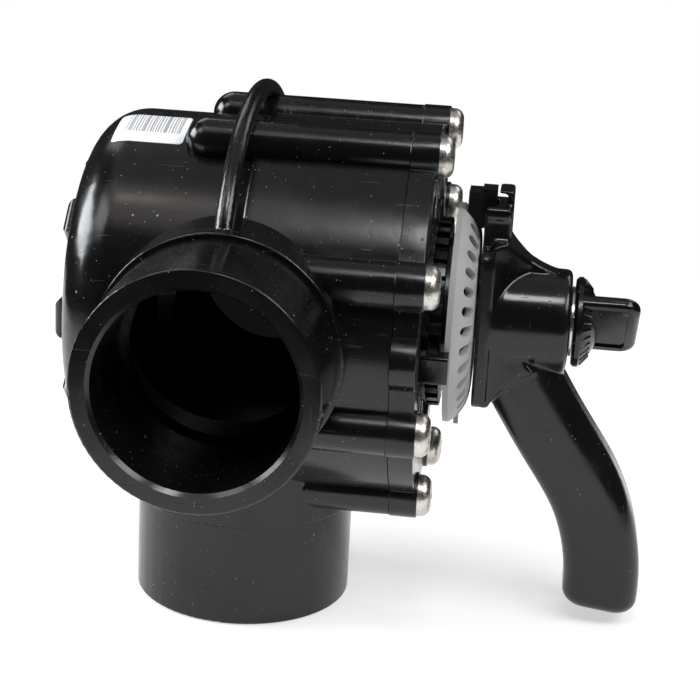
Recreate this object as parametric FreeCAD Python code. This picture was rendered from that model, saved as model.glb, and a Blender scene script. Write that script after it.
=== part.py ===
import FreeCAD, Part
import math
import os

from FreeCAD import Placement, Rotation, Vector

# Three-port diverter valve.  The stem axis lies along X, with the handle on the +X side.
# The front port opens towards -Y, the rear port towards +Y and the bottom port towards -Z.
# The origin is the centre of the bottom port's mouth, on the plane that the valve stands on.
# Clock angles go round the stem axis: 0 is the front port, 90 is straight up, -90 is straight down.
# Every size is in millimetres and every angle is in degrees.

# ---- driving dimensions: ports ----
PORT_REACH = 103.0
SOCKET_R = 30.15
SOCKET_DEPTH = 45.0
SPIGOT_R = 36.5
WATERWAY_R = 28.5
MOUTH_CHAMFER = 1.2
SPIGOT_LENGTH = 35.0
COLLAR_R = 38.2
PORT_EDGE_ROUND = 0.8
OVERLAP = 1.0

# ---- driving dimensions: bowl ----
AXIS_Z = PORT_REACH
BOWL_R = 59.4
BOWL_END_X = -53.2
BOWL_ROUND = 16.3
BOWL_WALL = 6.0
CAVITY_ROUND = 12.0
SHOULDER_R = 60.9
SHOULDER_X = 3.0
SEAM_X = 51.5
CAVITY_R = BOWL_R - BOWL_WALL
CAVITY_END_X = BOWL_END_X + BOWL_WALL

# ---- driving dimensions: screw bosses and cover ----
SCREW_COUNT = 8
SCREW_STEP = 360.0 / SCREW_COUNT
FIRST_SCREW_ANGLE = SCREW_STEP / 2
BOLT_CIRCLE_R = 61.0
BOSS_R = 7.2
BOSS_END_X = -12.0
LOBE_R = 7.5
COVER_T = 8.0
COVER_X = SEAM_X + COVER_T
LOBE_T = 9.0
SCREW_SEAT_X = SEAM_X + LOBE_T
COVER_RECESS = 2.0
SCREW_SHANK_R = 2.7
SCREW_HOLE_R = 2.8
SCREW_HEAD_R = 6.8
SCREW_HEAD_H = 4.3
SCREW_TIP_X = 31.0
SCREW_HOLE_END_X = 29.5

# ---- driving dimensions: stem, tower, ring and dial ----
STEM_R = 11.0
RUNNING_FIT = 0.05
TOWER_R = 24.5
TOWER_X = 71.0
RING_X = 60.5
RING_T = 4.0
RING_TIP_R = 31.2
RING_ROOT_R = 29.3
INDEX_COUNT = 32
INDEX_STEP = 360.0 / INDEX_COUNT
DIAL_RIM_R = 36.2
DIAL_T = 2.0
MOVING_GAP = 0.35

# ---- driving dimensions: handle and knob ----
PLATE_X = 75.1
PLATE_T = 4.6
HUB_R = 17.0
HUB_X = 104.9
STUD_R = 4.0
KNOB_X = 106.2
KNOB_R = 14.8

ON_AXIS = Vector(0, 0, AXIS_Z)
ALONG_X = Vector(1, 0, 0)
ALONG_Y = Vector(0, 1, 0)
ALONG_Z = Vector(0, 0, 1)
PORT_DIRECTIONS = (Vector(0, -1, 0), Vector(0, 1, 0), Vector(0, 0, -1))
NEAR = 0.01
TOP_ANGLE = 90.0
STRAIGHT_DOWN = -90.0


def point(x, y, z_above_axis):
    """A point given by its height above the stem axis."""
    return Vector(x, y, AXIS_Z + z_above_axis)


def cylinder(x_start, x_end, radius):
    """A solid cylinder on the stem axis."""
    return Part.makeCylinder(radius, x_end - x_start, point(x_start, 0, 0), ALONG_X)


def tube(x_start, x_end, outer_r, inner_r):
    """A hollow cylinder on the stem axis."""
    return cylinder(x_start, x_end, outer_r).cut(cylinder(x_start, x_end, inner_r))


def block(x_range, y_range, z_range):
    """A box, with its heights measured from the stem axis."""
    size = [high - low for low, high in (x_range, y_range, z_range)]
    return Part.makeBox(*size, point(x_range[0], y_range[0], z_range[0]))


def at_clock(shape, angle):
    """Turn a shape that was built at the top round to a clock angle."""
    turned = shape.copy()
    turned.rotate(ON_AXIS, ALONG_X, TOP_ANGLE - angle)
    return turned


def edges_along(box, direction):
    """The edges of a straight-sided block that run along a direction."""
    return [edge for edge in box.Edges if edge.tangentAt(edge.FirstParameter).cross(direction).Length < NEAR]


def round_copies(shape, count, first_angle):
    """Copies of a shape that was built at the top, spread evenly round the stem axis."""
    return [at_clock(shape, first_angle + index * 360.0 / count) for index in range(count)]


def profile_face(outline):
    """A face in the XZ plane from (x, height above the axis) points joined by straight lines."""
    corners = [point(x, 0, height) for x, height in outline]
    return Part.Face(Part.makePolygon(corners + corners[:1]))


def revolved(outline, centre_angle=TOP_ANGLE, half_angle=180.0):
    """A ring, or a sector of one, that has the given (x, radius) outline."""
    face = at_clock(profile_face(outline), centre_angle + half_angle)
    return face.revolve(ON_AXIS, ALONG_X, 2 * half_angle)


def ring_section(x_start, x_end, inner_r, outer_r):
    """The outline of a ring with a rectangular section."""
    return [(x_start, inner_r), (x_end, inner_r), (x_end, outer_r), (x_start, outer_r)]


def torus(x_centre, ring_r, section_r):
    """An O-ring round the stem axis."""
    return Part.makeTorus(ring_r, section_r, point(x_centre, 0, 0), ALONG_X)


def extruded(wire, half_width):
    """A plate whose side view is the wire, centred on the plane Y = 0."""
    face = Part.Face(wire)
    face.translate(Vector(0, -half_width, 0))
    return face.extrude(Vector(0, 2 * half_width, 0))


def fused(shapes):
    """One solid from several."""
    return shapes[0].multiFuse(list(shapes[1:])).removeSplitter()


def circles_at(shape, axis_point):
    """The circular edges of a shape whose centre is the given point."""
    found = []
    for edge in shape.Edges:
        if isinstance(edge.Curve, Part.Circle) and edge.Curve.Center.isEqual(axis_point, NEAR):
            found.append(edge)
    return found


def rounded_drum(radius, x_start, x_end, rounding):
    """A cylinder on the stem axis with its low-X edge rounded."""
    drum = cylinder(x_start, x_end, radius)
    return drum.makeFillet(rounding, circles_at(drum, point(x_start, 0, 0)))


def save(name, shape):
    """Write one node."""
    shape.exportStep(os.path.join("parts", name + ".step"))


# ---- valve body ----

def port_tube(direction, radius, start, end):
    """A cylinder along a port, measured outwards from the stem axis."""
    return Part.makeCylinder(radius, end - start, ON_AXIS + direction * start, direction)


def port_outside(direction):
    """The pipe-sized spigot of a port."""
    spigot = port_tube(direction, SPIGOT_R, 0, PORT_REACH)
    return spigot.makeFillet(PORT_EDGE_ROUND, circles_at(spigot, ON_AXIS + direction * PORT_REACH))


def port_collar(direction):
    """The thicker collar where a port leaves the bowl."""
    reach = PORT_REACH - SPIGOT_LENGTH
    collar = port_tube(direction, COLLAR_R, 0, reach)
    return collar.makeFillet(PORT_EDGE_ROUND, circles_at(collar, ON_AXIS + direction * reach))


def port_inside(direction):
    """The socket, its chamfered mouth and the waterway behind it."""
    socket = port_tube(direction, SOCKET_R, PORT_REACH - SOCKET_DEPTH, PORT_REACH)
    waterway = port_tube(direction, WATERWAY_R, 0, PORT_REACH)
    mouth = Part.makeCone(
        SOCKET_R,
        SOCKET_R + MOUTH_CHAMFER,
        MOUTH_CHAMFER,
        ON_AXIS + direction * (PORT_REACH - MOUTH_CHAMFER),
        direction,
    )
    return [socket, waterway, mouth]


def screw_boss():
    """A round-ended boss at the top of the body."""
    centre = point(BOSS_END_X, 0, BOLT_CIRCLE_R)
    shaft = Part.makeCylinder(BOSS_R, SEAM_X - BOSS_END_X, centre, ALONG_X)
    return shaft.fuse(Part.makeSphere(BOSS_R, centre))


def screw_hole(x_start, x_end, radius):
    """A hole for one screw at the top of the bolt circle."""
    return Part.makeCylinder(radius, x_end - x_start, point(x_start, 0, BOLT_CIRCLE_R), ALONG_X)


END_RIB_HALF_WIDTH = 6.2
END_RIB_INNER_R = 26.0
END_RIB_OUTER_R = 43.4
END_RIB_HEIGHT = 3.2
END_RIB_ROUND = 3.0
END_RIB_ROOT = 4.0


def end_rib():
    """A raised pad on the closed end of the bowl."""
    rib = block(
        (BOWL_END_X - END_RIB_HEIGHT, BOWL_END_X + END_RIB_ROOT),
        (-END_RIB_HALF_WIDTH, END_RIB_HALF_WIDTH),
        (END_RIB_INNER_R, END_RIB_OUTER_R),
    )
    outer_face = [face for face in rib.Faces if face.CenterOfMass.x < BOWL_END_X - END_RIB_HEIGHT + NEAR]
    return rib.makeFillet(END_RIB_ROUND, outer_face[0].Edges)


ARCH_ROD_R = 2.9
ARCH_HALF_SPAN = 65.4
ARCH_RISE = 49.8
ARCH_CENTRE_HEIGHT = 18.8
ARCH_START_ANGLE = 8.0


def arch_rod():
    """The arched rod over the top, from the front collar to the rear collar."""
    ellipse = Part.Ellipse(
        point(0, ARCH_HALF_SPAN, ARCH_CENTRE_HEIGHT),
        point(0, 0, ARCH_CENTRE_HEIGHT + ARCH_RISE),
        point(0, 0, ARCH_CENTRE_HEIGHT),
    )
    start = math.radians(ARCH_START_ANGLE)
    path = Part.Wire(ellipse.toShape(start, math.pi - start))
    first = path.Edges[0]
    start_at = first.FirstParameter
    section = Part.Circle(first.valueAt(start_at), first.tangentAt(start_at), ARCH_ROD_R)
    return path.makePipeShell([Part.Wire(section.toShape())], True, True)


PIVOT_BOSS_R = 12.0
PIVOT_FACE_X = -38.5
BUSH_R = 9.0
BUSH_END_X = -46.2
PIVOT_R = 7.0
PIVOT_END_X = -45.6


def valve_body():
    """Bowl, ports, bosses, end ribs and arch as one moulding."""
    bowl = rounded_drum(BOWL_R, BOWL_END_X, SEAM_X, BOWL_ROUND)
    shoulder = rounded_drum(SHOULDER_R, SHOULDER_X, SEAM_X, SHOULDER_R - BOWL_R)
    collars = [port_collar(direction) for direction in PORT_DIRECTIONS]
    body = fused([bowl, shoulder] + collars)
    spigots = [port_outside(direction) for direction in PORT_DIRECTIONS]
    bosses = round_copies(screw_boss(), SCREW_COUNT, FIRST_SCREW_ANGLE)
    ribs = round_copies(end_rib(), SCREW_COUNT, 0)
    body = fused([body] + spigots + bosses + ribs + [arch_rod()])
    hollows = [rounded_drum(CAVITY_R, CAVITY_END_X, SEAM_X, CAVITY_ROUND)]
    for direction in PORT_DIRECTIONS:
        hollows.extend(port_inside(direction))
    hollows.extend(round_copies(
        screw_hole(SCREW_HOLE_END_X, SEAM_X, SCREW_HOLE_R), SCREW_COUNT, FIRST_SCREW_ANGLE))
    body = body.cut(Part.makeCompound(hollows))
    pivot_boss = tube(CAVITY_END_X - OVERLAP, PIVOT_FACE_X, PIVOT_BOSS_R, BUSH_R)
    floor = cylinder(CAVITY_END_X - OVERLAP, BUSH_END_X, PIVOT_BOSS_R)
    return body.fuse(pivot_boss).fuse(floor).removeSplitter()


# ---- cover ----

PLUG_R = 53.2
PLUG_WALL = 5.5
PLUG_START_X = 43.5
COVER_ORING_SECTION_R = 1.3
COVER_ORING_X = 47.8
COVER_ORING_GROOVE_HALF = 1.6
COVER_ORING_GROOVE_R = CAVITY_R - 2 * COVER_ORING_SECTION_R
WEB_START_X = 50.0
TAB_R = 9.0
TAB_CENTRE_R = 57.0
RECESS_R = 49.0
BEARING_START_X = 44.0
BEARING_R = 17.0
POCKET_INNER_R = 14.5
POCKET_OUTER_R = 20.5
POCKET_FLOOR_X = 63.0
LUG_COUNT = 4
LUG_HALF_ANGLE = 28.0
LUG_CLEARANCE = 0.15
RIB_HALF_WIDTH = 1.2
COVER_RIB_COUNT = 16
COVER_RIB_H = 0.7
RAISED_R = 30.2


def cover():
    """The end cover with its plug, bearing and tower."""
    plate = cylinder(SEAM_X, COVER_X, SHOULDER_R)
    lobe = Part.makeCylinder(LOBE_R, LOBE_T, point(SEAM_X, 0, BOLT_CIRCLE_R), ALONG_X)
    tab = Part.makeCylinder(TAB_R, COVER_T, point(SEAM_X, 0, TAB_CENTRE_R), ALONG_X)
    web = cylinder(WEB_START_X, SEAM_X, PLUG_R)
    plug = tube(PLUG_START_X, SEAM_X, PLUG_R, PLUG_R - PLUG_WALL)
    bearing = cylinder(BEARING_START_X, SEAM_X, BEARING_R)
    lobes = round_copies(lobe, SCREW_COUNT, FIRST_SCREW_ANGLE)
    body = fused([plate, web, plug, bearing] + lobes + round_copies(tab, 2, 0))
    body = body.cut(tube(COVER_X - COVER_RECESS, COVER_X, RECESS_R, TOWER_R))
    recess_x = COVER_X - COVER_RECESS
    rib = block((recess_x, recess_x + COVER_RIB_H), (-RIB_HALF_WIDTH, RIB_HALF_WIDTH), (TOWER_R, RECESS_R))
    ribs = round_copies(rib, COVER_RIB_COUNT, INDEX_STEP)
    raised = cylinder(recess_x, RING_X, RAISED_R)
    tower = cylinder(recess_x, TOWER_X, TOWER_R)
    body = fused([body, raised, tower] + ribs)
    groove = tube(
        COVER_ORING_X - COVER_ORING_GROOVE_HALF,
        COVER_ORING_X + COVER_ORING_GROOVE_HALF,
        PLUG_R + OVERLAP,
        COVER_ORING_GROOVE_R,
    )
    holes = round_copies(screw_hole(SEAM_X, SCREW_SEAT_X, SCREW_HOLE_R), SCREW_COUNT, FIRST_SCREW_ANGLE)
    pocket = revolved(
        ring_section(POCKET_FLOOR_X, TOWER_X, POCKET_INNER_R, POCKET_OUTER_R), TOP_ANGLE, LUG_HALF_ANGLE)
    pockets = round_copies(pocket, LUG_COUNT, 0)
    bore = cylinder(BEARING_START_X, TOWER_X, STEM_R + RUNNING_FIT)
    return body.cut(Part.makeCompound(holes + pockets + [groove, bore]))


def cover_oring():
    """The face seal between the plug and the bowl."""
    return torus(COVER_ORING_X, CAVITY_R - COVER_ORING_SECTION_R, COVER_ORING_SECTION_R)


RECESS_ARM_LENGTH = 7.0
RECESS_ARM_WIDTH = 1.6
RECESS_DEPTH = 2.6
HEAD_ROUND = 3.2
TIP_LENGTH = 3.0
TIP_R = 1.2


def cover_screw():
    """A pan-head screw with a cross recess, at the top of the bolt circle."""
    seat = point(SCREW_SEAT_X, 0, BOLT_CIRCLE_R)
    head = Part.makeCylinder(SCREW_HEAD_R, SCREW_HEAD_H, seat, ALONG_X)
    top = seat + ALONG_X * SCREW_HEAD_H
    head = head.makeFillet(HEAD_ROUND, circles_at(head, top))
    long = RECESS_ARM_LENGTH / 2
    short = RECESS_ARM_WIDTH / 2
    depth = (top.x - RECESS_DEPTH, top.x)
    upright = block(depth, (-short, short), (BOLT_CIRCLE_R - long, BOLT_CIRCLE_R + long))
    level = block(depth, (-long, long), (BOLT_CIRCLE_R - short, BOLT_CIRCLE_R + short))
    shank_start = SCREW_TIP_X + TIP_LENGTH
    shank = screw_hole(shank_start, SCREW_SEAT_X, SCREW_SHANK_R)
    tip = Part.makeCone(TIP_R, SCREW_SHANK_R, TIP_LENGTH, point(SCREW_TIP_X, 0, BOLT_CIRCLE_R), ALONG_X)
    return head.fuse([shank, tip]).cut([upright, level]).removeSplitter()


def cover_screws():
    """All the cover screws in one node."""
    return Part.makeCompound(round_copies(cover_screw(), SCREW_COUNT, FIRST_SCREW_ANGLE))


# ---- toothed ring, stop tabs and dial ----

TOOTH_HALF_WIDTH = 1.45
RING_BORE_CLEARANCE = 0.1


def stop_ring():
    """The toothed ring that the stop tabs clip on; its gaps lie on the index angles."""
    rim = tube(RING_X, RING_X + RING_T, RING_ROOT_R, TOWER_R + RING_BORE_CLEARANCE)
    tooth = block(
        (RING_X, RING_X + RING_T),
        (-TOOTH_HALF_WIDTH, TOOTH_HALF_WIDTH),
        (RING_ROOT_R - OVERLAP, RING_TIP_R),
    )
    return fused([rim] + round_copies(tooth, INDEX_COUNT, INDEX_STEP / 2))


STOP_TAB_ANGLE = -INDEX_STEP
STOP_TAB_HALF_WIDTH = 4.9
STOP_TAB_INNER_R = DIAL_RIM_R + MOVING_GAP
STOP_TAB_OUTER_R = 41.3
STOP_TAB_START_X = 58.6
STOP_TAB_END_X = 67.9
STOP_FOOT_INNER_R = RING_TIP_R + MOVING_GAP
PRONG_R = RING_ROOT_R + MOVING_GAP
PRONG_HALF_WIDTH = 1.0
STOP_TAB_ROUND = 1.2


def stop_tab():
    """A stop at the top: a block beside the dial's rim, with a foot and a prong in a gap of the ring."""
    across = (-STOP_TAB_HALF_WIDTH, STOP_TAB_HALF_WIDTH)
    head = block((STOP_TAB_START_X, STOP_TAB_END_X), across, (STOP_TAB_INNER_R, STOP_TAB_OUTER_R))
    crest_z = AXIS_Z + STOP_TAB_OUTER_R - NEAR
    long_edges = [edge for edge in head.Edges
                  if edge.CenterOfMass.z > crest_z and abs(edge.CenterOfMass.y) > OVERLAP]
    head = head.makeFillet(STOP_TAB_ROUND, long_edges)
    foot_x = (RING_X + MOVING_GAP, RING_X + RING_T - MOVING_GAP)
    foot = block(foot_x, across, (STOP_FOOT_INNER_R, STOP_TAB_INNER_R))
    prong = block(foot_x, (-PRONG_HALF_WIDTH, PRONG_HALF_WIDTH), (PRONG_R, STOP_FOOT_INNER_R + OVERLAP))
    return fused([head, foot, prong])


DIAL_BACK_X = 66.3
DIAL_RIM_X = 68.2
DIAL_MIDDLE = (71.9, 32.4)
DIAL_FACE = (74.3, 25.0)
DIAL_BORE_R = 12.0
DIAL_LUG_START_X = POCKET_FLOOR_X + 1.0
LUG_ANGLE_CLEARANCE = 0.6
SLOT_INNER_R = 26.8
SLOT_OUTER_R = 33.9
SLOT_HALF_WIDTH = 1.6
NIB_X = (69.3, 70.9)
NIB_HALF_WIDTH = 0.9
NIB_R = (32.0, 38.6)


def dome(shift_x, shift_r):
    """The curve of the dial's face in side view, from the flat out to the rim, moved by the given shifts."""
    flat_edge = point(DIAL_FACE[0] + shift_x, 0, DIAL_FACE[1] + shift_r)
    middle = point(DIAL_MIDDLE[0] + shift_x, 0, DIAL_MIDDLE[1] + shift_r)
    rim = point(DIAL_RIM_X + shift_x, 0, DIAL_RIM_R + shift_r)
    return Part.Arc(flat_edge, middle, rim).toShape()


def dome_ring(back_x, shift_x, shift_r):
    """The solid ring under the dome, down to a back plane and in to the bore."""
    face_x = DIAL_FACE[0] + shift_x
    rim_x = DIAL_RIM_X + shift_x
    rim_r = DIAL_RIM_R + shift_r
    flat_r = DIAL_FACE[1] + shift_r
    section = Part.Wire([
        Part.makeLine(point(back_x, 0, DIAL_BORE_R), point(face_x, 0, DIAL_BORE_R)),
        Part.makeLine(point(face_x, 0, DIAL_BORE_R), point(face_x, 0, flat_r)),
        dome(shift_x, shift_r),
        Part.makeLine(point(rim_x, 0, rim_r), point(back_x, 0, rim_r)),
        Part.makeLine(point(back_x, 0, rim_r), point(back_x, 0, DIAL_BORE_R)),
    ])
    return Part.Face(section).revolve(ON_AXIS, ALONG_X, 360)


def dial():
    """The domed index dial with its radial slots, its nib and the lugs that key it to the tower."""
    hollow = dome_ring(DIAL_BACK_X - OVERLAP, -DIAL_T, -DIAL_T)
    sleeve = tube(TOWER_X, DIAL_FACE[0], TOWER_R, DIAL_BORE_R)
    disc = dome_ring(DIAL_BACK_X, 0, 0).cut(hollow).fuse(sleeve)
    slot_ends = [
        Part.makeCylinder(SLOT_HALF_WIDTH, PLATE_X - RING_X, point(RING_X, 0, radius), ALONG_X)
        for radius in (SLOT_INNER_R + SLOT_HALF_WIDTH, SLOT_OUTER_R - SLOT_HALF_WIDTH)
    ]
    slot_middle = block(
        (RING_X, PLATE_X),
        (-SLOT_HALF_WIDTH, SLOT_HALF_WIDTH),
        (SLOT_INNER_R + SLOT_HALF_WIDTH, SLOT_OUTER_R - SLOT_HALF_WIDTH),
    )
    slot = fused([slot_middle] + slot_ends)
    disc = disc.cut(Part.makeCompound(round_copies(slot, INDEX_COUNT, INDEX_STEP / 2)))
    lug = revolved(
        ring_section(
            DIAL_LUG_START_X,
            TOWER_X + OVERLAP,
            POCKET_INNER_R + LUG_CLEARANCE,
            POCKET_OUTER_R - LUG_CLEARANCE,
        ),
        TOP_ANGLE,
        LUG_HALF_ANGLE - LUG_ANGLE_CLEARANCE,
    )
    nib = at_clock(block(NIB_X, (-NIB_HALF_WIDTH, NIB_HALF_WIDTH), NIB_R), STRAIGHT_DOWN)
    return fused([disc, nib] + round_copies(lug, LUG_COUNT, 0))


# ---- diverter and stem ----

SHELL_R = 50.8
SHELL_T = 4.0
SHELL_HALF_LENGTH = 33.0
SHELL_HALF_ANGLE = 41.0
END_PLATE_T = 4.0
SEAL_GROOVE_DEPTH = 1.4
SEAL_R = CAVITY_R - MOVING_GAP
SEAL_HALF_LENGTH = 32.2
SEAL_HALF_ANGLE = 40.0
SEAL_BAND = 2.8
SEAL_BAND_ANGLE = 3.2
DRIVE_HUB_R = 15.0
DRIVE_HUB_START_X = 22.0
TONGUE_HALF = 6.0


def seal_band(inner_r, outer_r):
    """The loop that runs round the edge of the diverter's face."""
    outer = revolved(
        ring_section(-SEAL_HALF_LENGTH, SEAL_HALF_LENGTH, inner_r, outer_r), STRAIGHT_DOWN, SEAL_HALF_ANGLE)
    inner_half = SEAL_HALF_LENGTH - SEAL_BAND
    inner_angle = SEAL_HALF_ANGLE - SEAL_BAND_ANGLE
    inner = revolved(ring_section(-inner_half, inner_half, inner_r, outer_r), STRAIGHT_DOWN, inner_angle)
    return outer.cut(inner)


def diverter():
    """The curved paddle with its end plates, pivot and square socket for the stem."""
    shell = revolved(
        ring_section(-SHELL_HALF_LENGTH, SHELL_HALF_LENGTH, SHELL_R - SHELL_T, SHELL_R),
        STRAIGHT_DOWN,
        SHELL_HALF_ANGLE,
    )
    plate_ranges = (
        (-SHELL_HALF_LENGTH, END_PLATE_T - SHELL_HALF_LENGTH),
        (SHELL_HALF_LENGTH - END_PLATE_T, SHELL_HALF_LENGTH),
    )
    pieces = [shell]
    plate_r = SHELL_R - SHELL_T / 2
    for x_start, x_end in plate_ranges:
        outline = [(x_start, 0), (x_end, 0), (x_end, plate_r), (x_start, plate_r)]
        pieces.append(revolved(outline, STRAIGHT_DOWN, SHELL_HALF_ANGLE))
        pieces.append(cylinder(x_start, x_end, DRIVE_HUB_R))
    pieces.append(cylinder(PIVOT_END_X, -SHELL_HALF_LENGTH, PIVOT_R))
    pieces.append(cylinder(DRIVE_HUB_START_X, SHELL_HALF_LENGTH, DRIVE_HUB_R))
    body = fused(pieces)
    square = (-TONGUE_HALF, TONGUE_HALF)
    socket = block((DRIVE_HUB_START_X, SHELL_HALF_LENGTH), square, square)
    return body.cut(socket).cut(seal_band(SHELL_R - SEAL_GROOVE_DEPTH, SHELL_R + OVERLAP))


STEM_FLANGE_R = 15.0
STEM_FLANGE_END_X = 42.4
THRUST_WASHER_T = 1.25
STEM_ORING_XS = (52.0, 60.0)
STEM_ORING_SECTION_R = 1.1
STEM_GROOVE_HALF = 1.3
DRIVE_R = 9.5
DRIVE_FLAT = 7.5
DRIVE_END_X = 101.0
STUD_ROOT_X = 90.0
STUD_END_X = 112.0


def drive_section(x_start, x_end):
    """The two-flat drive end, the same on the stem and in the handle's bore."""
    flats = block((x_start, x_end), (-DRIVE_FLAT, DRIVE_FLAT), (-DRIVE_R, DRIVE_R))
    return cylinder(x_start, x_end, DRIVE_R).common(flats)


def stem():
    """The stem, from its square tongue in the diverter to the drive end in the handle."""
    square = (-TONGUE_HALF, TONGUE_HALF)
    pieces = [
        block((DRIVE_HUB_START_X, SHELL_HALF_LENGTH + OVERLAP), square, square),
        cylinder(SHELL_HALF_LENGTH, STEM_FLANGE_END_X, STEM_FLANGE_R),
        cylinder(STEM_FLANGE_END_X, TOWER_X, STEM_R),
        drive_section(TOWER_X, DRIVE_END_X),
    ]
    body = fused(pieces)
    groove_r = STEM_R - 2 * STEM_ORING_SECTION_R
    for x_centre in STEM_ORING_XS:
        groove_range = (x_centre - STEM_GROOVE_HALF, x_centre + STEM_GROOVE_HALF)
        body = body.cut(tube(*groove_range, STEM_R + OVERLAP, groove_r))
    return body.cut(cylinder(STUD_ROOT_X, DRIVE_END_X, STUD_R))


def stem_oring(x_centre):
    """One of the two seals in the stem's grooves."""
    return torus(x_centre, STEM_R - STEM_ORING_SECTION_R, STEM_ORING_SECTION_R)


def thrust_washer():
    """The washer between the stem's flange and the cover's bearing."""
    return tube(STEM_FLANGE_END_X, STEM_FLANGE_END_X + THRUST_WASHER_T, STEM_FLANGE_R, STEM_R)


# ---- handle ----

PLATE_HALF_WIDTH = 17.0
PLATE_BOTTOM = -28.0
PLATE_TOP = 25.0
PLATE_CORNER = 5.0
ARM_HALF_WIDTH = 9.5
ARM_TOP = 38.2
ARM_BOTTOM = 26.0
ARM_END_X = 83.3
ARM_LIP_ROUND = 1.6
FACE_RECESS = 0.6
FACE_BOTTOM = 28.0
FACE_TOP = 34.4
POST_END_X = 84.0
POST_T = 2.0
POST_HALF_WIDTH = 6.0
POST_TOP = 43.2
BAR_T = 1.2
POCKET_START_X = 78.8
POCKET_END_X = 82.0
POCKET_HALF_WIDTH = 6.4
POCKET_BOTTOM = 27.5
POCKET_TOP = 34.8
NECK_HALF_WIDTH = 4.0
SLOT_BOTTOM = 28.0
HUB_ROUND = 2.0
WEB_ROOT_HALF_WIDTH = 16.6
WEB_TIP_HALF_WIDTH = 4.5
WEB_MIDDLE = (84.5, 10.2)
WEB_TIP_X = 91.0
WEB_END_X = 100.0
WEB_ARCH_TOP = (90.5, 20.8)
WEB_ARCH_END = 16.5
CHEEK_HALF_WIDTH = 16.2
CHEEK_LOW = (80.6, -27.4)
CHEEK_ARCH = (87.2, -18.9)
CHEEK_END = (95.0, -14.6)
CHEEK_TOP = 2.0
SCOOP_R = 16.0
SCOOP_X = 87.5
SCOOP_Y = 29.4
LEVER_HALF_WIDTH = 12.5
LEVER_HALF_T = 12.7
LEVER_TIP_ROUND = 5.0
LEVER_ROUND = 8.0
LEVER_TIP = -98.2


def rounded_rectangle(centre, u, v, half_u, half_v, corner):
    """A closed wire: a rectangle along the unit vectors u and v, with round corners."""
    edges = []
    turns = ((1, 1), (-1, 1), (-1, -1), (1, -1))
    bulge = corner * (1 - math.sqrt(0.5))
    previous = None
    for side_u, side_v in turns:
        tip = centre + u * (side_u * half_u) + v * (side_v * half_v)
        on_u_side = tip - v * (side_v * corner)
        on_v_side = tip - u * (side_u * corner)
        middle = tip - u * (side_u * bulge) - v * (side_v * bulge)
        if side_u == side_v:
            first, last = on_u_side, on_v_side
        else:
            first, last = on_v_side, on_u_side
        if previous is not None:
            edges.append(Part.makeLine(previous, first))
        else:
            opening = first
        edges.append(Part.Arc(first, middle, last).toShape())
        previous = last
    edges.append(Part.makeLine(previous, opening))
    return Part.Wire(edges)


def lever():
    """The hanging lever: a rounded bar that curves outwards, then straight down."""
    route = [point(x, 0, height) for x, height in (
        (88.0, -14.5), (93.4, -23.4), (103.4, -39.0), (115.6, -58.0), (121.2, -74.0), (122.6, LEVER_TIP))]
    spine = Part.BSplineCurve()
    spine.interpolate(route)
    forward = spine.tangent(spine.FirstParameter)[0]
    section = rounded_rectangle(
        route[0], ALONG_Y, forward.cross(ALONG_Y), LEVER_HALF_WIDTH, LEVER_HALF_T, LEVER_ROUND)
    sweep = Part.BRepOffsetAPI.MakePipeShell(Part.Wire(spine.toShape()))
    sweep.setBiNormalMode(ALONG_Y)
    sweep.add(section)
    sweep.build()
    sweep.makeSolid()
    bar = sweep.shape()
    tip_z = AXIS_Z + LEVER_TIP + OVERLAP
    tip_edges = [edge for edge in bar.Edges if edge.BoundBox.ZMax < tip_z]
    return bar.makeFillet(LEVER_TIP_ROUND, tip_edges)


def upper_web():
    """The web above the axis, from the flange plate up to the arm and out to the hub, concave all round."""
    plate_x = PLATE_X + PLATE_T - OVERLAP
    arm_z = ARM_BOTTOM + OVERLAP
    top_end = point(WEB_END_X, 0, WEB_ARCH_END)
    arm_corner = point(ARM_END_X, 0, arm_z)
    side_view = Part.Wire([
        Part.makeLine(point(plate_x, 0, 0), point(plate_x, 0, arm_z)),
        Part.makeLine(point(plate_x, 0, arm_z), arm_corner),
        Part.Arc(arm_corner, point(WEB_ARCH_TOP[0], 0, WEB_ARCH_TOP[1]), top_end).toShape(),
        Part.makeLine(top_end, point(WEB_END_X, 0, 0)),
        Part.makeLine(point(WEB_END_X, 0, 0), point(plate_x, 0, 0)),
    ])
    plate_end = PLATE_X + PLATE_T
    near = [
        point(plate_x, -WEB_ROOT_HALF_WIDTH, 0),
        point(plate_end, -WEB_ROOT_HALF_WIDTH, 0),
        point(WEB_MIDDLE[0], -WEB_MIDDLE[1], 0),
        point(WEB_TIP_X, -WEB_TIP_HALF_WIDTH, 0),
        point(WEB_END_X, -WEB_TIP_HALF_WIDTH, 0),
    ]
    far = [Vector(corner.x, -corner.y, corner.z) for corner in near]
    plan_view = Part.Wire([
        Part.makeLine(near[0], near[1]),
        Part.Arc(near[1], near[2], near[3]).toShape(),
        Part.makeLine(near[3], near[4]),
        Part.makeLine(near[4], far[4]),
        Part.makeLine(far[4], far[3]),
        Part.Arc(far[3], far[2], far[1]).toShape(),
        Part.makeLine(far[1], far[0]),
        Part.makeLine(far[0], near[0]),
    ])
    plan = Part.Face(plan_view).extrude(Vector(0, 0, arm_z))
    return extruded(side_view, PLATE_HALF_WIDTH).common(plan)


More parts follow.
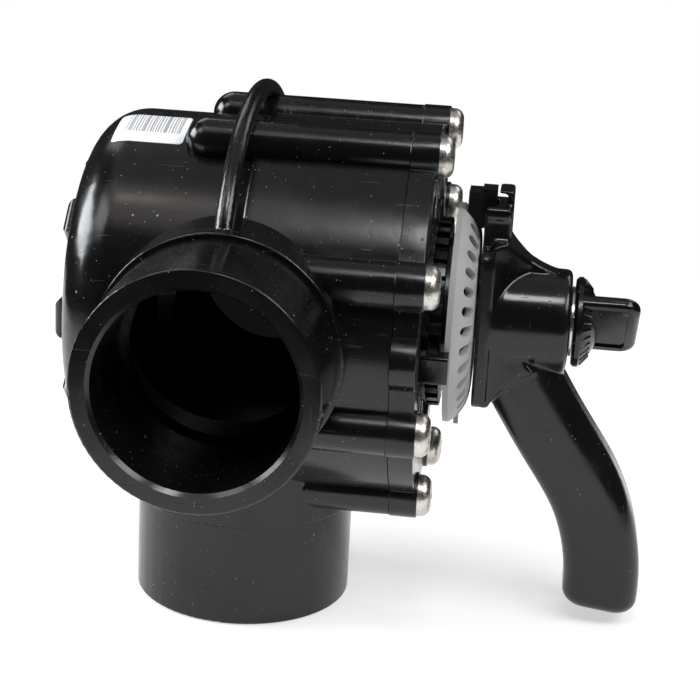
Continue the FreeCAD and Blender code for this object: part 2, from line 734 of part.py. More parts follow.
def lower_cheek():
    """The full cheek below the axis, arched underneath and scooped out on both sides."""
    plate_x = PLATE_X + PLATE_T - OVERLAP
    low, arch, end = [point(x, 0, height) for x, height in (CHEEK_LOW, CHEEK_ARCH, CHEEK_END)]
    side_view = Part.Wire([
        Part.makeLine(point(plate_x, 0, CHEEK_TOP), point(plate_x, 0, CHEEK_LOW[1])),
        Part.makeLine(point(plate_x, 0, CHEEK_LOW[1]), low),
        Part.Arc(low, arch, end).toShape(),
        Part.makeLine(end, point(plate_x, 0, CHEEK_TOP)),
    ])
    cheek = extruded(side_view, CHEEK_HALF_WIDTH)
    scoops = [
        Part.makeCylinder(SCOOP_R, AXIS_Z, Vector(SCOOP_X, side * SCOOP_Y, 0))
        for side in (-1, 1)
    ]
    return cheek.cut(scoops)


def upper_arm():
    """The arm's head: a box with a rolled lip, and a post and bar that leave a window beside the neck."""
    across = (-ARM_HALF_WIDTH, ARM_HALF_WIDTH)
    box = block((PLATE_X, ARM_END_X), across, (ARM_BOTTOM, ARM_TOP))
    lip_z = AXIS_Z + ARM_TOP - NEAR
    lip_edges = [edge for edge in box.Edges
                 if edge.CenterOfMass.z > lip_z and abs(edge.CenterOfMass.y) > OVERLAP]
    box = box.makeFillet(ARM_LIP_ROUND, lip_edges)
    stalk = block((PLATE_X, PLATE_X + PLATE_T), across, (0, ARM_BOTTOM))
    panels = [
        block(
            (PLATE_X, ARM_END_X),
            sorted((side * (ARM_HALF_WIDTH - FACE_RECESS), side * ARM_HALF_WIDTH)),
            (FACE_BOTTOM, FACE_TOP),
        )
        for side in (-1, 1)
    ]
    post_across = (-POST_HALF_WIDTH, POST_HALF_WIDTH)
    post = block((POST_END_X - POST_T, POST_END_X), post_across, (ARM_BOTTOM, POST_TOP))
    bar = block((POCKET_START_X + MOVING_GAP, POST_END_X), post_across, (POST_TOP - BAR_T, POST_TOP))
    pocket = block(
        (POCKET_START_X, POCKET_END_X), (-POCKET_HALF_WIDTH, POCKET_HALF_WIDTH), (POCKET_BOTTOM, POCKET_TOP))
    slot_half = NECK_HALF_WIDTH + MOVING_GAP
    slot = block((PLATE_X, POCKET_START_X), (-slot_half, slot_half), (SLOT_BOTTOM, ARM_TOP))
    return fused([box.cut(panels), stalk, post, bar]).cut([pocket, slot])


def handle():
    """Flange plate, hub, arm and lever as one moulding."""
    plate = block(
        (PLATE_X, PLATE_X + PLATE_T), (-PLATE_HALF_WIDTH, PLATE_HALF_WIDTH), (PLATE_BOTTOM, PLATE_TOP))
    plate = plate.makeFillet(PLATE_CORNER, edges_along(plate, ALONG_X))
    hub = cylinder(PLATE_X, HUB_X, HUB_R)
    hub = hub.makeFillet(HUB_ROUND, circles_at(hub, point(HUB_X, 0, 0)))
    body = fused([plate, hub, upper_web(), lower_cheek(), lever(), upper_arm()])
    return body.cut(drive_section(PLATE_X, DRIVE_END_X)).cut(cylinder(DRIVE_END_X, HUB_X, DRIVE_R))


SLUG_X = 69.4
SLUG_END_X = PLATE_X - MOVING_GAP
SLUG_HALF_WIDTH = 4.9
SLUG_BOTTOM = 30.1
SLUG_TOP = 41.8
NECK_BOTTOM = SLOT_BOTTOM + MOVING_GAP
NECK_TOP = 42.9
NECK_END_X = POCKET_START_X - 0.4
FOOT_END_X = POCKET_END_X - MOVING_GAP
FOOT_HALF_WIDTH = POCKET_HALF_WIDTH - MOVING_GAP
FOOT_TOP = 30.2
FOOT_START_X = POCKET_START_X + MOVING_GAP


def index_slider():
    """The slug over the dial, its neck through the arm and its foot in the pocket."""
    neck_across = (-NECK_HALF_WIDTH, NECK_HALF_WIDTH)
    slug = block((SLUG_X, SLUG_END_X), (-SLUG_HALF_WIDTH, SLUG_HALF_WIDTH), (SLUG_BOTTOM, SLUG_TOP))
    slug = slug.cut(dome_ring(DIAL_BACK_X, MOVING_GAP, MOVING_GAP))
    neck = block((SLUG_END_X - OVERLAP, NECK_END_X), neck_across, (SLUG_BOTTOM, NECK_TOP))
    heel = block((PLATE_X, NECK_END_X), neck_across, (NECK_BOTTOM, SLUG_BOTTOM + OVERLAP))
    step = block((NECK_END_X - OVERLAP, FOOT_END_X), neck_across, (NECK_BOTTOM, FOOT_TOP))
    foot = block((FOOT_START_X, FOOT_END_X), (-FOOT_HALF_WIDTH, FOOT_HALF_WIDTH), (NECK_BOTTOM, FOOT_TOP))
    return fused([slug, neck, heel, step, foot])


SPRING_HALF_LENGTH = 5.2
SPRING_BOW = 1.3
SPRING_T = 0.4
SPRING_HALF_WIDTH = 1.1


def slider_spring():
    """The bowed leaf spring on the slider's foot, at its pressed-flat height."""
    x_start = (FOOT_START_X + FOOT_END_X) / 2 - SPRING_HALF_WIDTH

    def bow(rise):
        ends = [point(x_start, side * SPRING_HALF_LENGTH, FOOT_TOP) for side in (-1, 1)]
        return Part.Arc(ends[0], point(x_start, 0, FOOT_TOP + rise), ends[1]).toShape()

    face = Part.Face(Part.Wire([bow(SPRING_BOW), bow(SPRING_BOW - SPRING_T)]))
    return face.extrude(ALONG_X * (2 * SPRING_HALF_WIDTH))


# ---- stud and lock knob ----

THREAD_CLEARANCE = 0.35
INSERT_R = 6.2
INSERT_END_X = 112.4
WASHER_R = 11.5
WASHER_GAP = 0.3
RIM_CHAMFER = 0.9
KNOB_RIM_END_X = 108.4
DOME_MIDDLE = (111.9, 10.4)
DOME_TOP_X = 114.6
DOME_TOP_R = 4.0
WING_ANGLE = 46.0
WING_START_X = 107.4
WING_END_X = 127.2
WING_HALF_T = 2.5
WING_CORNER = 5.5
WING_ROUND = 2.0
PANEL_DEPTH = 0.7
PANEL_MARGIN = 3.7
PANEL_START_X = 112.0
PANEL_ROUND = 2.0
GRIP_RIB_COUNT = 30
GRIP_RIB_R = 0.5
GRIP_RIB_START = (108.9, 14.0)
GRIP_RIB_END = (111.6, 10.9)


def stem_stud():
    """The threaded stud in the end of the stem."""
    return cylinder(STUD_ROOT_X, STUD_END_X, STUD_R)


def knob_washer():
    """The washer between the hub and the knob."""
    return tube(HUB_X + WASHER_GAP, KNOB_X - WASHER_GAP, WASHER_R, STUD_R + THREAD_CLEARANCE)


def knob_insert():
    """The brass insert that runs on the stud."""
    return tube(KNOB_X, INSERT_END_X, INSERT_R, STUD_R + THREAD_CLEARANCE)


def wing_face(y, end_x, half_height, start_x, corner):
    """The face outline of the knob's wing, standing upright, with its two outer corners rounded."""
    bulge = corner * (1 - math.sqrt(0.5))
    low_start = point(start_x, y, -half_height)
    low_end = point(end_x - corner, y, -half_height)
    low_middle = point(end_x - bulge, y, bulge - half_height)
    low_side = point(end_x, y, corner - half_height)
    high_side = point(end_x, y, half_height - corner)
    high_middle = point(end_x - bulge, y, half_height - bulge)
    high_end = point(end_x - corner, y, half_height)
    high_start = point(start_x, y, half_height)
    return Part.Face(Part.Wire([
        Part.makeLine(low_start, low_end),
        Part.Arc(low_end, low_middle, low_side).toShape(),
        Part.makeLine(low_side, high_side),
        Part.Arc(high_side, high_middle, high_end).toShape(),
        Part.makeLine(high_end, high_start),
        Part.makeLine(high_start, low_start),
    ]))


def knob_wing():
    """The knob's wing, as long as the disc is wide, with a sunk panel on both faces."""
    face = wing_face(-WING_HALF_T, WING_END_X, KNOB_R - NEAR, WING_START_X, WING_CORNER)
    wing = face.extrude(ALONG_Y * (2 * WING_HALF_T))
    inner_x = WING_START_X + OVERLAP
    rim = [edge for edge in wing.Edges
           if abs(abs(edge.CenterOfMass.y) - WING_HALF_T) < NEAR and edge.CenterOfMass.x > inner_x]
    wing = wing.makeFillet(WING_ROUND, rim)
    panel_half = KNOB_R - PANEL_MARGIN
    panel_end = WING_END_X - PANEL_MARGIN
    for start_y in (-WING_HALF_T - OVERLAP, WING_HALF_T - PANEL_DEPTH):
        panel = wing_face(start_y, panel_end, panel_half, PANEL_START_X, PANEL_ROUND)
        wing = wing.cut(panel.extrude(ALONG_Y * (PANEL_DEPTH + OVERLAP)))
    return at_clock(wing, WING_ANGLE)


def lock_knob():
    """The wing knob: a domed disc with radial ribs, and a wing across it."""
    corners = [
        point(KNOB_X, 0, 0),
        point(KNOB_X, 0, KNOB_R - RIM_CHAMFER),
        point(KNOB_X + RIM_CHAMFER, 0, KNOB_R),
        point(KNOB_RIM_END_X, 0, KNOB_R),
    ]
    top_edge = point(DOME_TOP_X, 0, DOME_TOP_R)
    section = Part.Wire([Part.makeLine(corners[index], corners[index + 1]) for index in range(3)] + [
        Part.Arc(corners[3], point(DOME_MIDDLE[0], 0, DOME_MIDDLE[1]), top_edge).toShape(),
        Part.makeLine(top_edge, point(DOME_TOP_X, 0, 0)),
        Part.makeLine(point(DOME_TOP_X, 0, 0), corners[0]),
    ])
    disc = Part.Face(section).revolve(ON_AXIS, ALONG_X, 360)
    rib_start = point(GRIP_RIB_START[0], 0, GRIP_RIB_START[1])
    rib_end = point(GRIP_RIB_END[0], 0, GRIP_RIB_END[1])
    slope = rib_end - rib_start
    rib = Part.makeCylinder(GRIP_RIB_R, slope.Length, rib_start, slope)
    ribs = round_copies(rib, GRIP_RIB_COUNT, WING_ANGLE + TOP_ANGLE)
    body = fused([disc, knob_wing()] + ribs)
    return body.cut(cylinder(KNOB_X, INSERT_END_X, INSERT_R))


# ---- label ----

LABEL_T = 0.2
LABEL_X = (-43.4, -20.4)
LABEL_ANGLE = 75.0
LABEL_HALF_HEIGHT = 9.4
LABEL_CORNER = 1.5


def label():
    """A thin sticker that follows the round end of the bowl."""
    skin = rounded_drum(BOWL_R + LABEL_T, BOWL_END_X - LABEL_T, SEAM_X, BOWL_ROUND + LABEL_T)
    skin = skin.cut(rounded_drum(BOWL_R, BOWL_END_X, SEAM_X, BOWL_ROUND))
    patch = block(LABEL_X, (-LABEL_HALF_HEIGHT, LABEL_HALF_HEIGHT), (BOWL_R / 2, BOWL_R + OVERLAP))
    patch = patch.makeFillet(LABEL_CORNER, edges_along(patch, ALONG_Z))
    return skin.common(at_clock(patch, LABEL_ANGLE))


# ---- write every node ----

def main():
    """Build each piece and write it to the parts folder."""
    os.makedirs("parts", exist_ok=True)
    save("valve_body", valve_body())
    save("cover", cover())
    save("cover_oring", cover_oring())
    save("cover_screws", cover_screws())
    save("pivot_bush", tube(BUSH_END_X, PIVOT_FACE_X, BUSH_R, PIVOT_R + RUNNING_FIT))
    save("stop_ring", stop_ring())
    save("stop_tab_front", at_clock(stop_tab(), STOP_TAB_ANGLE))
    save("stop_tab_rear", at_clock(stop_tab(), 180.0 - STOP_TAB_ANGLE))
    save("dial", dial())
    save("diverter", diverter())
    save("diverter_seal", seal_band(SHELL_R - SEAL_GROOVE_DEPTH, SEAL_R))
    save("stem", stem())
    save("stem_oring_inner", stem_oring(STEM_ORING_XS[0]))
    save("stem_oring_outer", stem_oring(STEM_ORING_XS[1]))
    save("thrust_washer", thrust_washer())
    save("handle", handle())
    save("index_slider", index_slider())
    save("slider_spring", slider_spring())
    save("stem_stud", stem_stud())
    save("knob_washer", knob_washer())
    save("knob_insert", knob_insert())
    save("lock_knob", lock_knob())
    save("label", label())


main()
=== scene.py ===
import math

import bpy
from mathutils import Matrix, Vector


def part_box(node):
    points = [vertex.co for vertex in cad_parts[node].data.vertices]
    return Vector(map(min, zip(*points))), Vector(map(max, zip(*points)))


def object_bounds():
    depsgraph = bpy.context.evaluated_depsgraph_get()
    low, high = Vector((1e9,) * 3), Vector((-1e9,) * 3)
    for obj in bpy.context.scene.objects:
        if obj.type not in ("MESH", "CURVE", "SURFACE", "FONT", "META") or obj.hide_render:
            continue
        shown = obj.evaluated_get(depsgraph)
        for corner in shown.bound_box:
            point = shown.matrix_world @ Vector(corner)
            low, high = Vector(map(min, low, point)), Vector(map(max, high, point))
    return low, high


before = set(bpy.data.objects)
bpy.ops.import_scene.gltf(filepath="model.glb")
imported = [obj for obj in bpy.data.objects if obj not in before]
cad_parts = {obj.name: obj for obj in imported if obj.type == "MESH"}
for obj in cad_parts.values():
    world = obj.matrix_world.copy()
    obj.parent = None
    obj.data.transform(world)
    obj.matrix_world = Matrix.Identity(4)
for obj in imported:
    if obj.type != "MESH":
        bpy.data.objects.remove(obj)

cad_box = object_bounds()
bpy.context.scene.view_settings.view_transform = "Standard"

# ---- places taken from the frame, in metres ----

LABEL_LOW, LABEL_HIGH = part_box("label")
OBJECT_CENTRE = Vector([(low + high) / 2 for low, high in zip(*cad_box)])

MM = 0.001
WHITE = (1.0, 1.0, 1.0)

# a Mix node keeps its colour sockets among those of its other data types
MIX_FIRST, MIX_SECOND, MIX_RESULT = 6, 7, 2


# ---- materials ----

PLASTIC_IOR = 1.48
RUBBER_IOR = 1.5
SPECK_EDGE = 0.6

class Shader:
    """A small helper that builds one procedural material."""

    def __init__(self, name):
        self.material = bpy.data.materials.new(name)
        self.material.use_nodes = True
        self.tree = self.material.node_tree
        self.surface = self.tree.nodes["Principled BSDF"]
        self.place = self.node("ShaderNodeTexCoord").outputs["Object"]

    def node(self, kind, **settings):
        """A new node with its settings and its unlinked input values."""
        made = self.tree.nodes.new(kind)
        for key, value in settings.items():
            if key.startswith("in_"):
                made.inputs[key[3:].replace("_", " ")].default_value = value
            else:
                setattr(made, key, value)
        return made

    def link(self, source, target):
        """Join two sockets."""
        self.tree.links.new(source, target)

    def stretched(self, scale):
        """Object coordinates stretched along each axis."""
        mapping = self.node("ShaderNodeMapping")
        mapping.inputs["Scale"].default_value = scale
        self.link(self.place, mapping.inputs["Vector"])
        return mapping.outputs["Vector"]

    def noise(self, scale, detail=4.0, roughness=0.55, vector=None):
        """Fractal noise, from 0 to 1."""
        made = self.node("ShaderNodeTexNoise", in_Scale=scale, in_Detail=detail, in_Roughness=roughness)
        self.link(self.place if vector is None else vector, made.inputs["Vector"])
        return made.outputs["Fac"]

    def ramp(self, source, low, high, low_value=0.0, high_value=1.0):
        """A clamped linear map from one span of values to another."""
        made = self.node("ShaderNodeMapRange")
        sockets = ("From Min", "From Max", "To Min", "To Max")
        for socket, value in zip(sockets, (low, high, low_value, high_value)):
            made.inputs[socket].default_value = value
        self.link(source, made.inputs["Value"])
        return made.outputs["Result"]

    def math(self, operation, first, second=None):
        """One math node on one or two sockets or numbers."""
        made = self.node("ShaderNodeMath", operation=operation)
        for index, value in enumerate((first, second)):
            if value is None:
                continue
            if isinstance(value, (int, float)):
                made.inputs[index].default_value = value
            else:
                self.link(value, made.inputs[index])
        return made.outputs[0]

    def mix(self, factor, first, second):
        """A colour between two colours or colour sockets."""
        made = self.node("ShaderNodeMix", data_type="RGBA")
        self.link(factor, made.inputs["Factor"])
        for socket, value in zip((made.inputs[MIX_FIRST], made.inputs[MIX_SECOND]), (first, second)):
            if isinstance(value, tuple):
                socket.default_value = (*value, 1.0)
            else:
                self.link(value, socket)
        return made.outputs[MIX_RESULT]

    def specks(self, scale, size, share):
        """Small round specks: 1 inside a speck, 0 outside, in a share of the cells."""
        cells = self.node("ShaderNodeTexVoronoi", in_Scale=scale)
        self.link(self.place, cells.inputs["Vector"])
        near = self.ramp(cells.outputs["Distance"], size, size * SPECK_EDGE)
        split = self.node("ShaderNodeSeparateColor")
        self.link(cells.outputs["Color"], split.inputs["Color"])
        chosen = self.math("LESS_THAN", split.outputs["Red"], share)
        return self.math("MULTIPLY", near, chosen)

    def bump(self, height, strength, distance, below=None):
        """A bump node, stacked on an earlier one."""
        made = self.node("ShaderNodeBump", in_Strength=strength, in_Distance=distance)
        self.link(height, made.inputs["Height"])
        if below is not None:
            self.link(below, made.inputs["Normal"])
        return made.outputs["Normal"]

    def finish(self, color, roughness, normal=None, **plain):
        """Connect the surface: colour, roughness and normal are sockets, the rest are plain numbers."""
        self.link(color, self.surface.inputs["Base Color"])
        self.link(roughness, self.surface.inputs["Roughness"])
        if normal is not None:
            self.link(normal, self.surface.inputs["Normal"])
        for key, value in plain.items():
            self.surface.inputs[key.replace("_", " ")].default_value = value
        return self.material


BLACK_SHADE = (0.85, 0.85, 0.88)
BLACK_LIFT = 1.25
SCUFF_COLOUR = (0.10, 0.10, 0.11)
SCUFF_SHARE = 0.10
DUST_COLOUR = (0.42, 0.42, 0.43)
DUST_SHARE = 0.75
SMUDGE_ROUGHNESS = 0.08
WEAR_ROUGHNESS = 0.16


def black_plastic(name, tone, gloss, dust):
    """Moulded black plastic: faint flow marks, fine scratches, smudges and specks of dust."""
    shader = Shader(name)
    clouds = shader.noise(38.0, 5.0)
    smudges = shader.ramp(shader.noise(90.0, 3.0), 0.45, 0.70)
    hairs = shader.noise(900.0, 2.0, 0.5, shader.stretched((0.07, 1.0, 0.8)))
    cross_hairs = shader.noise(800.0, 2.0, 0.5, shader.stretched((1.0, 0.7, 0.06)))
    scratches = shader.math(
        "MAXIMUM", shader.ramp(hairs, 0.700, 0.735), shader.ramp(cross_hairs, 0.705, 0.740))
    fine_dust = shader.specks(900.0, 0.17, 0.07 * dust)
    large_dust = shader.specks(260.0, 0.10, 0.06 * dust)
    specks = shader.math("MAXIMUM", fine_dust, large_dust)
    dark = tuple(tone * factor for factor in BLACK_SHADE)
    pale = tuple([tone * BLACK_LIFT] * 3)
    body = shader.mix(clouds, dark, pale)
    scuffed = shader.mix(shader.math("MULTIPLY", scratches, SCUFF_SHARE), body, SCUFF_COLOUR)
    dusty = shader.mix(shader.math("MULTIPLY", specks, DUST_SHARE), scuffed, DUST_COLOUR)
    clean = shader.ramp(clouds, 0.3, 0.7, gloss - 0.03, gloss + 0.05)
    handled = shader.math("ADD", clean, shader.math("MULTIPLY", smudges, SMUDGE_ROUGHNESS))
    worn = shader.math("MULTIPLY", shader.math("MAXIMUM", scratches, specks), WEAR_ROUGHNESS)
    rough = shader.math("ADD", handled, worn)
    peel = shader.bump(shader.noise(420.0, 2.0), 0.05, 0.4 * MM)
    relief = shader.bump(shader.math("SUBTRACT", specks, scratches), 0.12, 0.1 * MM, peel)
    return shader.finish(dusty, rough, relief, IOR=PLASTIC_IOR)


GREY_DARK = (0.37, 0.37, 0.36)
GREY_PALE = (0.44, 0.44, 0.43)
GREY_MARKS = (0.30, 0.29, 0.28)
GREY_MARK_SHARE = 0.25
GREY_DUST = (0.16, 0.16, 0.15)
GREY_DUST_SHARE = 0.7


def grey_plastic():
    """Satin light grey plastic with faint mottling, handling marks and dark specks."""
    shader = Shader("dial_grey_plastic")
    mottle = shader.noise(120.0, 5.0)
    marks = shader.ramp(shader.noise(46.0, 6.0, 0.7), 0.56, 0.74)
    mottled = shader.mix(mottle, GREY_DARK, GREY_PALE)
    marked = shader.mix(shader.math("MULTIPLY", marks, GREY_MARK_SHARE), mottled, GREY_MARKS)
    specks = shader.specks(700.0, 0.15, 0.05)
    dusty = shader.mix(shader.math("MULTIPLY", specks, GREY_DUST_SHARE), marked, GREY_DUST)
    rough = shader.ramp(mottle, 0.3, 0.7, 0.42, 0.55)
    grain = shader.bump(shader.noise(900.0, 3.0), 0.10, 0.2 * MM)
    return shader.finish(dusty, rough, grain, IOR=PLASTIC_IOR)


STAIN_SHADE = (0.62, 0.60, 0.56)


def metal(name, tint, rough_low, rough_high):
    """Bright metal with fine brushing and faint stains."""
    shader = Shader(name)
    brushing = shader.noise(1400.0, 3.0, 0.6, shader.stretched((1.0, 0.25, 1.0)))
    stains = shader.ramp(shader.noise(210.0, 4.0), 0.50, 0.75)
    stained = tuple(channel * factor for channel, factor in zip(tint, STAIN_SHADE))
    color = shader.mix(stains, tint, stained)
    rough = shader.ramp(brushing, 0.3, 0.7, rough_low, rough_high)
    lines = shader.bump(brushing, 0.12, 0.1 * MM)
    return shader.finish(color, rough, lines, Metallic=1.0)


RUBBER_DARK = (0.014, 0.014, 0.014)
RUBBER_BLOOM = (0.040, 0.040, 0.041)


def rubber():
    """Black seal rubber with a dull bloom."""
    shader = Shader("seal_rubber")
    bloom = shader.noise(160.0, 5.0)
    color = shader.mix(bloom, RUBBER_DARK, RUBBER_BLOOM)
    rough = shader.ramp(bloom, 0.3, 0.7, 0.55, 0.75)
    grain = shader.bump(shader.noise(1500.0, 2.0), 0.10, 0.1 * MM)
    return shader.finish(color, rough, grain, IOR=RUBBER_IOR)


ACETAL_DARK = (0.78, 0.77, 0.72)
ACETAL_PALE = (0.86, 0.85, 0.81)
ACETAL_DEPTH = 0.1


def acetal():
    """Natural white acetal with faint turning marks."""
    shader = Shader("white_acetal")
    haze = shader.noise(140.0, 4.0)
    color = shader.mix(haze, ACETAL_DARK, ACETAL_PALE)
    rough = shader.ramp(haze, 0.3, 0.7, 0.32, 0.45)
    turning = shader.noise(1800.0, 1.0, 0.5, shader.stretched((1.0, 0.05, 0.05)))
    lines = shader.bump(turning, 0.10, 0.1 * MM)
    return shader.finish(color, rough, lines, Subsurface_Weight=ACETAL_DEPTH)


PAPER_DARK = (0.80, 0.80, 0.81)
PAPER_PALE = (0.88, 0.88, 0.89)
BAR_COLOUR = (0.14, 0.14, 0.15)
BAR_DENSITY = 0.72
FINE_BARS_PER_METRE = 1150.0
FINE_BAR_SHARE = 0.42
COARSE_BARS_PER_METRE = 437.0
COARSE_BAR_SHARE = 0.22
BARS_START = 0.12
BARS_END_GAP = 0.06
BARS_BOTTOM = 0.55


def label_stock():
    """White label paper with a plain row of bars in its upper part, and no lettering."""
    shader = Shader("label_stock")
    split = shader.node("ShaderNodeSeparateXYZ")
    shader.link(shader.place, split.inputs["Vector"])
    along = split.outputs["X"]
    height = split.outputs["Z"]
    label_length = LABEL_HIGH[0] - LABEL_LOW[0]
    fine = shader.math("FRACT", shader.math("MULTIPLY", along, FINE_BARS_PER_METRE))
    coarse = shader.math("FRACT", shader.math("MULTIPLY", along, COARSE_BARS_PER_METRE))
    fine_bars = shader.math("LESS_THAN", fine, FINE_BAR_SHARE)
    coarse_bars = shader.math("LESS_THAN", coarse, COARSE_BAR_SHARE)
    bars = shader.math("MAXIMUM", fine_bars, coarse_bars)
    inside = shader.math(
        "MULTIPLY",
        shader.math("GREATER_THAN", along, LABEL_LOW[0] + BARS_START * label_length),
        shader.math("LESS_THAN", along, LABEL_HIGH[0] - BARS_END_GAP * label_length),
    )
    band_low = LABEL_LOW[2] + BARS_BOTTOM * (LABEL_HIGH[2] - LABEL_LOW[2])
    in_band = shader.math("GREATER_THAN", height, band_low)
    printed = shader.math("MULTIPLY", shader.math("MULTIPLY", bars, inside), in_band)
    fibre = shader.noise(1600.0, 4.0)
    paper = shader.mix(fibre, PAPER_DARK, PAPER_PALE)
    color = shader.mix(shader.math("MULTIPLY", printed, BAR_DENSITY), paper, BAR_COLOUR)
    rough = shader.ramp(fibre, 0.3, 0.7, 0.38, 0.50)
    return shader.finish(color, rough, shader.bump(fibre, 0.05, 0.1 * MM))


MATERIALS = {
    "body": black_plastic("body_black", 0.0036, 0.18, 1.0),
    "cover": black_plastic("cover_black", 0.0040, 0.19, 0.8),
    "handle": black_plastic("handle_black", 0.0042, 0.17, 0.5),
    "inner": black_plastic("inner_black", 0.0035, 0.26, 0.4),
    "dial": grey_plastic(),
    "screw": metal("screw_steel", (0.66, 0.63, 0.58), 0.22, 0.42),
    "stud": metal("stud_steel", (0.60, 0.60, 0.60), 0.20, 0.34),
    "brass": metal("insert_brass", (0.76, 0.57, 0.27), 0.22, 0.38),
    "rubber": rubber(),
    "acetal": acetal(),
    "label": label_stock(),
}

NODE_LOOKS = {
    "valve_body": "body",
    "cover": "cover",
    "cover_oring": "rubber",
    "cover_screws": "screw",
    "pivot_bush": "acetal",
    "stop_ring": "cover",
    "stop_tab_front": "handle",
    "stop_tab_rear": "handle",
    "dial": "dial",
    "diverter": "inner",
    "diverter_seal": "rubber",
    "stem": "inner",
    "stem_oring_inner": "rubber",
    "stem_oring_outer": "rubber",
    "thrust_washer": "acetal",
    "handle": "handle",
    "index_slider": "handle",
    "slider_spring": "stud",
    "stem_stud": "stud",
    "knob_washer": "stud",
    "knob_insert": "brass",
    "lock_knob": "handle",
    "label": "label",
}

# how far the hard edges of each node are rounded
EDGE_SOFTNESS = {
    "valve_body": 0.40 * MM,
    "cover": 0.40 * MM,
    "cover_screws": 0.20 * MM,
    "stop_ring": 0.15 * MM,
    "stop_tab_front": 0.40 * MM,
    "stop_tab_rear": 0.40 * MM,
    "dial": 0.15 * MM,
    "index_slider": 0.40 * MM,
    "lock_knob": 0.20 * MM,
}
EDGE_SEGMENTS = 2
WELD_DISTANCE = 0.001 * MM
SHARP_ANGLE = math.radians(35)

# the handle's webs and hub flow into one another
MOULDED = ("handle",)
MOULDED_CELL = 0.55 * MM
MOULDED_FLOW = 0.5
MOULDED_PASSES = 9


def soften(node, width):
    """Weld the doubled points along a piece's edges, then round the hard ones."""
    weld = node.modifiers.new("weld", "WELD")
    weld.merge_threshold = WELD_DISTANCE
    bevel = node.modifiers.new("soft_edges", "BEVEL")
    bevel.width = width
    bevel.segments = EDGE_SEGMENTS
    bevel.limit_method = "ANGLE"
    bevel.angle_limit = SHARP_ANGLE
    node.modifiers.new("even_normals", "WEIGHTED_NORMAL")


def melt_together(node):
    """Blend the corners where the shapes of a moulding meet."""
    remesh = node.modifiers.new("fine_cells", "REMESH")
    remesh.mode = "VOXEL"
    remesh.voxel_size = MOULDED_CELL
    remesh.use_smooth_shade = True
    smooth = node.modifiers.new("flow", "SMOOTH")
    smooth.factor = MOULDED_FLOW
    smooth.iterations = MOULDED_PASSES


def dress(name, look):
    """Give one carried-over node its material and its soft edges."""
    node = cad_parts[name]
    if not node.material_slots:
        node.data.materials.append(MATERIALS[look])
    for material_slot in node.material_slots:
        material_slot.material = MATERIALS[look]
    if name in EDGE_SOFTNESS:
        soften(node, EDGE_SOFTNESS[name])
    if name in MOULDED:
        melt_together(node)


for node_name, look_name in NODE_LOOKS.items():
    dress(node_name, look_name)


# ---- floor, light and camera ----

CAMERA_AZIMUTH = math.radians(5.64)
CAMERA_ELEVATION = math.radians(17.84)
CAMERA_ROLL = math.radians(3.04)
CAMERA_PLACE = Vector((0.0912, -0.5865, 0.2765))
FOCAL_PER_WIDTH = 2.649
SENSOR_WIDTH = 36.0

FLOOR_X = (-0.48, 0.52)
FLOOR_Y = (-0.36, 0.38)
FLOOR_Z = -0.2 * MM
FLOOR_DARK = (0.60, 0.60, 0.60)
FLOOR_PALE = (0.63, 0.63, 0.63)
FLOOR_GLOW = 0.58

SURROUNDINGS = (0.030, 0.030, 0.032)
COOL = (0.93, 0.97, 1.0)
WARM = (1.0, 0.90, 0.84)

# name, azimuth and elevation in degrees, distance and (width, height) in metres, radiance, tint
SOFTBOXES = (
    ("left_strip", -89.0, 23.0, 1.0, (0.56, 0.38), 14.0, COOL),
    ("left_wing", -60.0, 45.0, 1.0, (0.34, 0.30), 4.0, COOL),
    ("front_left_high", -38.0, 62.0, 1.0, (0.60, 0.40), 0.8, WARM),
    ("warm_lamp", -42.0, 66.0, 1.0, (0.07, 0.05), 9.0, WARM),
    ("key", 9.0, 60.0, 1.2, (0.28, 0.22), 15.0, COOL),
    ("right_side", 62.0, 45.0, 1.0, (0.60, 0.40), 7.0, WHITE),
    ("rear_left", -145.0, 42.0, 1.1, (0.50, 0.40), 1.8, WHITE),
    ("rear_right", 140.0, 42.0, 1.1, (0.50, 0.40), 1.8, WHITE),
    ("overhead", 0.0, 89.0, 1.3, (1.6, 1.6), 0.32, WHITE),
)


def direction(azimuth, elevation):
    """The way from the object at these angles, in radians; azimuth 0 is -Y, the front port's side."""
    return Vector((
        math.sin(azimuth) * math.cos(elevation),
        -math.cos(azimuth) * math.cos(elevation),
        math.sin(elevation),
    ))


def add_camera():
    """The camera in front and a little above, with a slight roll."""
    back = direction(CAMERA_AZIMUTH, CAMERA_ELEVATION)
    level_right = Vector((math.cos(CAMERA_AZIMUTH), math.sin(CAMERA_AZIMUTH), 0.0))
    level_up = back.cross(level_right)
    right = level_right * math.cos(CAMERA_ROLL) + level_up * math.sin(CAMERA_ROLL)
    up = back.cross(right)
    data = bpy.data.cameras.new("camera")
    data.sensor_width = SENSOR_WIDTH
    data.lens = FOCAL_PER_WIDTH * SENSOR_WIDTH
    camera = bpy.data.objects.new("camera", data)
    turn = Matrix((right, up, back)).transposed().to_4x4()
    camera.matrix_world = Matrix.Translation(CAMERA_PLACE) @ turn
    bpy.context.scene.collection.objects.link(camera)
    bpy.context.scene.camera = camera


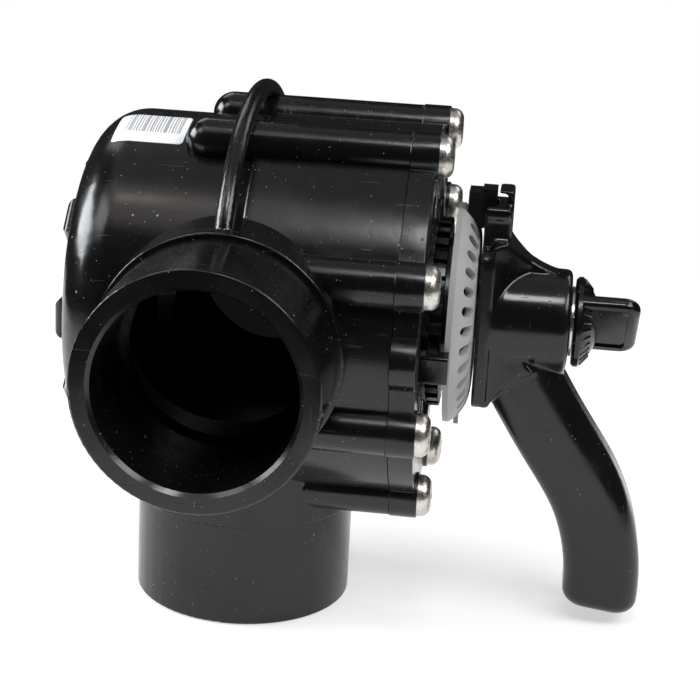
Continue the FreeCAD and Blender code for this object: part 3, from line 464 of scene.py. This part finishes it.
def add_softbox(name, azimuth, elevation, distance, size, radiance, tint):
    """A soft light aimed at the object; azimuth 0 is towards the front, 90 towards the handle."""
    width, height = size
    data = bpy.data.lights.new(name, "AREA")
    data.shape = "RECTANGLE"
    data.size = width
    data.size_y = height
    data.energy = radiance * math.pi * width * height
    data.color = tint
    light = bpy.data.objects.new(name, data)
    turn, lift = math.radians(azimuth), math.radians(elevation)
    towards = direction(turn, lift)
    light.location = OBJECT_CENTRE + towards * distance
    light.rotation_euler = towards.to_track_quat("Z", "Y").to_euler()
    light.visible_camera = False
    bpy.context.scene.collection.objects.link(light)


def add_floor():
    """A plain pale floor under the object, glowing a little so that it reads as white."""
    corners = [(FLOOR_X[0], FLOOR_Y[0], 0), (FLOOR_X[1], FLOOR_Y[0], 0),
               (FLOOR_X[1], FLOOR_Y[1], 0), (FLOOR_X[0], FLOOR_Y[1], 0)]
    mesh = bpy.data.meshes.new("floor")
    mesh.from_pydata(corners, [], [(0, 1, 2, 3)])
    floor = bpy.data.objects.new("floor", mesh)
    floor.location.z = FLOOR_Z
    shader = Shader("floor_paper")
    grain = shader.noise(60.0, 3.0)
    color = shader.mix(grain, FLOOR_DARK, FLOOR_PALE)
    roughness = shader.ramp(grain, 0.0, 1.0, 0.85, 0.95)
    shader.surface.inputs["Emission Color"].default_value = (*WHITE, 1.0)
    mesh.materials.append(shader.finish(color, roughness, Emission_Strength=FLOOR_GLOW))
    bpy.context.scene.collection.objects.link(floor)


def add_world():
    """Dim surroundings, with plain white behind the object."""
    world = bpy.data.worlds.new("studio")
    world.use_nodes = True
    tree = world.node_tree
    background = tree.nodes["Background"]
    background.inputs["Strength"].default_value = 1.0
    path = tree.nodes.new("ShaderNodeLightPath")
    mix = tree.nodes.new("ShaderNodeMix")
    mix.data_type = "RGBA"
    mix.inputs[MIX_FIRST].default_value = (*SURROUNDINGS, 1.0)
    mix.inputs[MIX_SECOND].default_value = (*WHITE, 1.0)
    tree.links.new(path.outputs["Is Camera Ray"], mix.inputs["Factor"])
    tree.links.new(mix.outputs[MIX_RESULT], background.inputs["Color"])
    bpy.context.scene.world = world


add_camera()
add_floor()
add_world()
for softbox in SOFTBOXES:
    add_softbox(*softbox)
